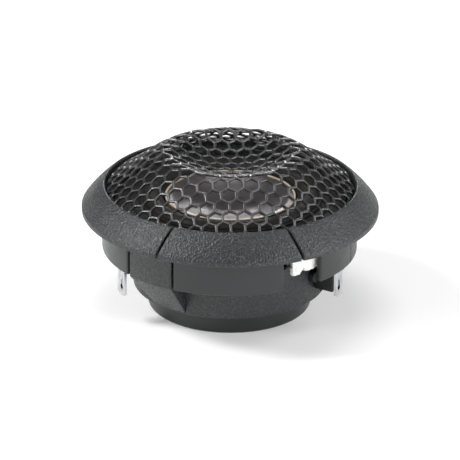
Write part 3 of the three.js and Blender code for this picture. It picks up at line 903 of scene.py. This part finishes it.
def rear_cup():
    """Smooth cup with a shallow groove in its bottom and a lip inside the housing."""
    inner = CUP_R - CUP_WALL
    lip_z = SHELL_Z + SHELL_FLOOR + CLEARANCE
    top = high("rear_cup", "z")
    lip_r = high("rear_cup", "x")
    groove, half, depth = CUP_GROOVE_R, CUP_GROOVE_WIDTH / 2, CUP_GROOVE_DEPTH
    cup = turned("rear_cup_visual", [
        (0, 0),
        (groove - half, 0),
        (groove - half + depth, depth),
        (groove + half - depth, depth),
        (groove + half, 0),
        *arc(CUP_R - CUP_ROUND, CUP_ROUND, CUP_ROUND, -90, 0, 8),
        (CUP_R, lip_z),
        (lip_r, lip_z),
        (lip_r, top),
        (inner, top),
        (inner, CUP_WALL),
        (0, CUP_WALL),
    ], CUP_SATIN)
    return settle(crisp(cup), ROOT, "smooth_plastic", "rear_cup")


# ---- Dome, glue ring, surround and carrier --------------------------------------------------


def dome():
    """Concave foil dome with a flat rim."""
    bowl = COIL_R - DOME_RIM
    sphere = (bowl**2 + DOME_DEPTH**2) / (2 * DOME_DEPTH)
    steps = 24
    top = []
    for i in range(steps + 1):
        r = bowl * i / steps
        top.append((r, DOME_RIM_Z - DOME_DEPTH + sphere - math.sqrt(sphere**2 - r**2)))
    bottom = [(r, z - DOME_SKIN) for r, z in top]
    rim = [(COIL_R, DOME_RIM_Z - DOME_SKIN), (COIL_R, DOME_RIM_Z)]
    piece = turned("dome_foil", [*bottom, *rim, *reversed(top)], FOIL, 180)
    return settle(crisp(piece), MOVING, "dome_metal", "dome")


def bond_ring():
    """Bead of glue round the dome, a little uneven in width and height."""
    middle = COIL_R - 0.03
    low_z = DOME_RIM_Z + 0.03
    rng = random.Random(7)
    waves = [(k, rng.uniform(0, 6.28), rng.uniform(0.3, 1.0) / k) for k in (3, 5, 8, 13, 21)]
    steps, sides = 360, 12
    points, faces = [], []
    for i in range(steps):
        a = 2 * math.pi * i / steps
        uneven = sum(size * math.sin(k * a + phase) for k, phase, size in waves)
        half_width = 0.17 * (1 + 0.25 * uneven)
        rise = (BOND_TOP_Z - low_z) * (0.86 + 0.12 * math.tanh(uneven))
        for k in range(sides):
            b = 2 * math.pi * k / sides
            lift = max(0.0, math.sin(b)) ** 0.8
            sink = 0.01 if lift == 0 else 0
            z = low_z + rise * lift - sink
            points.append(polar(middle + half_width * math.cos(b), math.degrees(a), z))
    for i in range(steps):
        for k in range(sides):
            after = (k + 1) % sides
            here, there = i * sides, (i + 1) % steps * sides
            faces.append((here + k, there + k, there + after, here + after))
    ring = weld(make_object("bond_ring_bead", points, faces, CREAM), 0.0005)
    return settle(ring, MOVING, "cream_glue", "bond_ring")


def surround_outline():
    """Half-round roll between two flat lips, as (radius, height) points."""
    inner = SURROUND_INNER_R + SURROUND_LIP
    outer = SURROUND_OUTER_R - SURROUND_LIP
    middle, half = (inner + outer) / 2, (outer - inner) / 2
    steps = 16
    bottom = [(SURROUND_INNER_R, SURROUND_Z)]
    top = [(SURROUND_OUTER_R, SURROUND_Z + SURROUND_SKIN)]
    for i in range(steps + 1):
        a = math.pi * i / steps
        lift = SURROUND_CREST * math.sin(a)
        bottom.append((middle - half * math.cos(a), SURROUND_Z + lift))
        top.append((middle + half * math.cos(a), SURROUND_Z + SURROUND_SKIN + lift))
    bottom.append((SURROUND_OUTER_R, SURROUND_Z))
    top.append((SURROUND_INNER_R, SURROUND_Z + SURROUND_SKIN))
    return bottom + top


def surround():
    """The surround in equal sectors, between the dome and the carrier."""
    count = 12
    width = 360 / count
    for i in range(count):
        name = f"surround_{i + 1:02d}"
        piece = sector(name, surround_outline(), CLOTH, i * width, (i + 1) * width, 3)
        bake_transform(crisp(piece, 50))
        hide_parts("surround")


# ---- Terminals, wires and glue --------------------------------------------------------------


def keep_cad(node, material):
    """A CAD node that stays as it is, with its final material."""
    obj = frame["nodes"][node]
    obj.data.materials.clear()
    obj.data.materials.append(material)


def grid_faces(columns, rows):
    """Faces over a grid of points that are listed column by column."""
    faces = []
    for i in range(columns):
        for k in range(rows):
            first = i * (rows + 1) + k
            faces.append((first, first + rows + 1, first + rows + 2, first + 1))
    return faces


def tab_blade(angle, before, after):
    """The flat of a tab with its shoulder and two round corners."""
    corner = TAB_CORNER
    outline = [(-before, TAB_TOP_Z), (-before, TAB_SHOULDER_Z), (-TAB_HALF, TAB_SHOULDER_Z)]
    outline += arc(-TAB_HALF + corner, TAB_Z + corner, corner, 180, 270, 8)
    outline += arc(TAB_HALF - corner, TAB_Z + corner, corner, 270, 360, 8)
    outline += [(TAB_HALF, TAB_SHOULDER_Z), (after, TAB_SHOULDER_Z), (after, TAB_TOP_Z)]
    blade = prism("blade", outline, TIN, 0, TAB_THICKNESS)
    blade.data.transform(Matrix.Rotation(math.radians(90), 4, "X"))
    blade.data.transform(Matrix.Translation((0, (TAB_THICKNESS - TAB_FACE_R) * MM, 0)))
    return turn_about_axis(blade, angle)


def terminal(side):
    """A push-on tab with its foot, a keyhole and a shallow stamped panel round it."""
    angle, before, after = TERMINALS[side]
    tab = tab_blade(angle, before, after)
    foot_length = TAB_FACE_R - TAB_FOOT_R
    foot_centre = (0, -(TAB_FACE_R + TAB_FOOT_R) / 2, TAB_TOP_Z - TAB_THICKNESS / 2)
    foot = box_at((2 * TAB_HALF, foot_length, TAB_THICKNESS), foot_centre, angle, TIN)
    combine(tab, foot, "UNION")
    # The walls of the tab's hole take the peg's black: painted shade.
    hole = radial_peg(TAB_HOLE_R, TAB_FACE_R - 1, TAB_FACE_R + 1, angle, TAB_HOLE_Z)
    combine(tab, hole, "DIFFERENCE")
    slot_size = (TAB_SLOT_WIDTH, 2, TAB_SLOT_HEIGHT)
    slot = box_at(slot_size, (0, -TAB_FACE_R, TAB_HOLE_Z + TAB_SLOT_HEIGHT / 2), angle, TIN)
    combine(tab, slot, "DIFFERENCE")
    stamp_size = (TAB_STAMP_WIDTH, 2 * TAB_STAMP_DEPTH, TAB_STAMP_HEIGHT)
    stamp = box_at(stamp_size, (0, -TAB_FACE_R, TAB_HOLE_Z + 0.9), angle, TIN)
    combine(tab, round_edges(stamp, 0.09, 2), "DIFFERENCE")
    round_edges(tab, 0.07, 2, 40)
    tab.name = f"terminal_{side}_visual"
    settle(crisp(tab, 40), ROOT, "tin_plate", f"terminal_{side}")


def terminal_block(side):
    """Black moulded block behind a tab; the right one has a round lug."""
    angle = TERMINALS[side][0]
    node = f"terminal_carrier_{side}"
    outer = TAB_FACE_R - TAB_THICKNESS - CLEARANCE
    inner = SHELL_R + CLEARANCE
    outline = [
        (inner, low(node, "z")),
        (outer, low(node, "z")),
        (outer, high(node, "z")),
        (inner, high(node, "z")),
    ]
    block = sector(f"{node}_visual", outline, BLACK_AND_HOLE_SHADE, angle - BLOCK_HALF, angle + BLOCK_HALF)
    round_edges(block, 0.2, 3)
    if side == "right":
        lug = radial_peg(LUG_R, RECESS_FLOOR_R + CLEARANCE, LUG_FACE_R, RECESS_ANGLE, RECESS_Z)
        combine(block, round_edges(lug, 0.15, 3), "UNION")
    settle(crisp(block), ROOT, "black_plastic", node)


def wire_path(stops):
    """A smooth path through (radius, direction, height) stops."""
    return spline([polar(*stop) for stop in stops], 10)


def left_lead():
    """Straight out under the carrier and down to the left tab."""
    angle = TERMINALS["left"][0]
    return wire_path([
        (LEAD_INNER_R, angle, LEAD_Z),
        (LEAD_DROP_R - 1.2, angle, LEAD_Z),
        (LEAD_DROP_R - 0.2, angle, LEAD_Z - 0.3),
        (LEAD_DROP_R, angle, LEAD_Z - 1.2),
        (LEAD_DROP_R, angle, TAB_TOP_Z + SOLDER_HEIGHT + 0.1),
    ])


def right_lead():
    """Out of the eye, along the collar under the glue and down to the right tab."""
    a, z = EYE_ANGLE, EYE_Z
    shell_r = COLLAR_R - COLLAR_WALL
    return wire_path([
        (LEAD_INNER_R, a, LEAD_Z),
        (shell_r - 2.2, a, LEAD_Z),
        (shell_r - 1, a, LEAD_Z - 0.6),
        (shell_r - 0.7, a, (LEAD_Z + z) / 2),
        (shell_r - 0.5, a, z + 0.35),
        (shell_r + 0.5, a, z),
        (LEAD_LAID_R - 0.4, a, z),
        (LEAD_LAID_R, a + 2, z - 0.05),
        (LEAD_LAID_R, a + 8, z),
        (LEAD_LAID_R, a + 14, z + 0.2),
        (LEAD_LAID_R, a + 18.5, z + 0.6),
        (LEAD_LAID_R + 0.1, a + 21.5, z - 0.2),
        (LEAD_LAID_R, a + 22.5, z - 1.4),
        (LEAD_DROP_R + 0.7, a + 27, COLLAR_Z - 0.75),
        (LEAD_DROP_R, TERMINALS["right"][0] - 3.4, TAB_TOP_Z + 0.3),
    ])


def leads():
    """Both enamelled wires."""
    for side, path in (("left", left_lead()), ("right", right_lead())):
        wire = tube(f"lead_wire_{side}_visual", path, LEAD_R, ENAMEL)
        settle(crisp(wire, 50), ROOT, "copper", f"lead_wire_{side}")


def solder_joint(side):
    """A cone of tin that has flowed out at its foot and up the wire."""
    low_z = TAB_TOP_Z + CLEARANCE
    steps = 12
    outline = [(0, low_z)]
    for i in range(steps + 1):
        t = i / steps
        r = SOLDER_R * (1 - t) ** 0.55
        outline.append((r, low_z + SOLDER_HEIGHT * t**1.4 * 0.98))
    joint = turned(f"solder_{side}_visual", outline, SOLDER, 32)
    joint.data.transform(Matrix.Translation((0, -LEAD_DROP_R * MM, 0)))
    turn_about_axis(joint, TERMINALS[side][0])
    settle(crisp(joint, 50), ROOT, "tin_plate", f"solder_{side}")


def bead_edge(t):
    """Lower edge of the glue at a place from 0, its near end, to 1: a droop, a notch and a tail."""
    droop = 0.62 * math.exp(-(((t - 0.17) / 0.17) ** 4))
    notch = 0.75 * math.exp(-(((t - 0.42) / 0.04) ** 2))
    tail = 0.25 * math.exp(-(((t - 0.68) / 0.2) ** 4))
    return BEAD_LOW + 0.62 - droop + notch - tail


def rounded(share, margin):
    """Height of a quarter round over the margin at both ends of a 0 to 1 share."""
    t = min(1.0, min(share, 1 - share) / margin)
    return math.sqrt(max(0.0, 1 - (1 - t) ** 2))


def bead_depth(angle, z):
    """Share of its full thickness that the glue has at a place, with its lumps."""
    place = Vector((angle * 0.4, z, 0))
    return 0.82 + 0.22 * noise.noise(place * 1.7) + 0.1 * noise.noise(place * 4.1)


def adhesive_bead():
    """White glue pressed over the lead: a lumpy pad with an uneven edge."""
    thickness = BEAD_OUTER_R - BEAD_INNER_R
    outer, inner = [], []
    for i in range(BEAD_COLUMNS + 1):
        t = i / BEAD_COLUMNS
        angle = BEAD_FROM + (BEAD_TO - BEAD_FROM) * t
        bottom, top = bead_edge(t), BEAD_HIGH - BEAD_TOP_GAP
        middle = (top + bottom) / 2
        end = rounded(t, BEAD_END_ROUND)
        for k in range(BEAD_ROWS + 1):
            w = k / BEAD_ROWS
            z = middle + (bottom + (top - bottom) * w - middle) * (0.85 + 0.15 * end)
            depth = thickness * end * rounded(w, BEAD_EDGE_ROUND) * bead_depth(angle, z)
            outer.append(polar(BEAD_INNER_R + max(0.0, min(thickness, depth)), angle, z))
            inner.append(polar(BEAD_INNER_R, angle, z))
    sheet = grid_faces(BEAD_COLUMNS, BEAD_ROWS)
    count = len(outer)
    faces = sheet + [tuple(count + v for v in reversed(face)) for face in sheet]
    pad = weld(make_object("adhesive_bead_visual", outer + inner, faces, WHITE), 0.004)
    settle(crisp(pad, 60), ROOT, "white_glue", "adhesive_bead")


def diaphragm_carrier():
    """Stepped plate under the surround, with a groove round its top and a channel for each lead."""
    groove, half, depth = CARRIER_GROOVE_R, CARRIER_GROOVE_WIDTH / 2, CARRIER_GROOVE_DEPTH
    plate = turned("diaphragm_carrier_visual", [
        (CARRIER_STEP_R, CARRIER_Z),
        (CARRIER_R, CARRIER_Z),
        (CARRIER_R, CARRIER_TOP_Z),
        (groove + half, CARRIER_TOP_Z),
        (groove + half - 0.1, CARRIER_TOP_Z - depth),
        (groove - half + 0.1, CARRIER_TOP_Z - depth),
        (groove - half, CARRIER_TOP_Z),
        (CARRIER_BORE_R, CARRIER_TOP_Z),
        (CARRIER_BORE_R, CARRIER_STEP_Z),
        (CARRIER_STEP_R, CARRIER_STEP_Z),
    ], BLACK_AND_HOLE_SHADE)
    round_edges(plate, 0.08, 2)
    for angle in (TERMINALS["left"][0], EYE_ANGLE):
        channel = box_at((LEAD_CHANNEL, 6, 2), (0, 2 - CARRIER_R, CARRIER_Z + 0.2), angle, BLACK_AND_HOLE_SHADE)
        combine(plate, channel, "DIFFERENCE")
    settle(crisp(plate), ROOT, "black_plastic", "diaphragm_carrier")


# ---- Stage ----------------------------------------------------------------------------------

FLOOR = 4000  # half the width of the floor

# Lights: place and size in metres, and power in watts
LIGHTS = {
    "top": ((0, 0.18, 0.9), (0.5, 0.3), 2.6),
    "left": ((-0.55, -0.02, 0.55), (0.22, 0.22), 5),
    "left_front": ((-0.55, -0.25, 0.2), (0.2, 0.2), 1.4),
    "right": ((0.6, 0.25, 0.45), (0.3, 0.3), 1.7),
    "right_front": ((0.55, -0.3, 0.22), (0.25, 0.25), 3.4),
    "back": ((0.03, 1.2, 0.18), (0.3, 0.2), 3),
}


def aim(obj, target, roll=0.0):
    """Points an object's -Z axis at a target, turned by roll degrees about it."""
    direction = Vector(target) - obj.location
    turn = direction.to_track_quat("-Z", "Y").to_matrix().to_4x4()
    obj.rotation_euler = (turn @ Matrix.Rotation(math.radians(roll), 4, "Z")).to_euler()


def camera():
    """The photograph's view: slightly from above, long lens, with a small roll."""
    elevation, distance, lens, roll = math.radians(23.14), 0.5574, 234.8, 0.61
    target = Vector((0, 0, 0.01418))
    data = bpy.data.cameras.new("camera")
    data.lens = lens
    data.sensor_width = 36
    obj = bpy.data.objects.new("camera", data)
    bpy.context.scene.collection.objects.link(obj)
    obj.location = target + Vector((0, -math.cos(elevation), math.sin(elevation))) * distance
    aim(obj, target, roll)
    data.clip_start, data.clip_end = 0.01, 10
    bpy.context.scene.camera = obj


def area_light(name, place, size, power):
    """A rectangular softbox that points at the middle of the speaker."""
    data = bpy.data.lights.new(name, "AREA")
    data.shape = "RECTANGLE"
    data.size, data.size_y = size
    data.energy = power
    obj = bpy.data.objects.new(name, data)
    bpy.context.scene.collection.objects.link(obj)
    obj.location = place
    aim(obj, (0, 0, 0.015))


def stage():
    """Plain pale floor and soft studio light."""
    f = Finish("floor", (0.9, 0.9, 0.9), 0.9, Specular_IOR_Level=0.2, Emission_Strength=0.12)
    f.shader.inputs["Emission Color"].default_value = (1, 1, 1, 1)
    f.colour(f.mix_colour(f.noise(60, 2), (0.9, 0.9, 0.9), (0.92, 0.92, 0.92)))
    corners = [(-FLOOR, -FLOOR, 0), (FLOOR, -FLOOR, 0), (FLOOR, FLOOR, 0), (-FLOOR, FLOOR, 0)]
    floor = make_object("floor", corners, [(0, 1, 2, 3)], f.material)
    world = bpy.data.worlds.new("studio")
    world.use_nodes = True
    world.node_tree.nodes["Background"].inputs["Color"].default_value = (1, 1, 1, 1)
    world.node_tree.nodes["Background"].inputs["Strength"].default_value = 0.16
    bpy.context.scene.world = world
    for name, (place, size, power) in LIGHTS.items():
        area_light(name, place, size, power)
    bpy.context.scene.view_settings.view_transform = "Standard"


def main():
    """Builds every piece; those that the housing hides keep their CAD shape."""
    camera()
    flange_ring()
    badge_insert()
    grille()
    body_shell()
    rear_cup()
    dome()
    bond_ring()
    surround()
    diaphragm_carrier()
    for side in TERMINALS:
        terminal(side)
        terminal_block(side)
        solder_joint(side)
    leads()
    adhesive_bead()
    keep_cad("yoke_cup", STEEL)
    keep_cad("top_plate", STEEL)
    keep_cad("magnet", NICKEL)
    keep_cad("pole_felt", FELT)
    keep_cad("chamber_foam", FOAM)
    keep_cad("voice_coil_former", FILM)
    keep_cad("voice_coil_winding", COPPER)
    stage()


main()
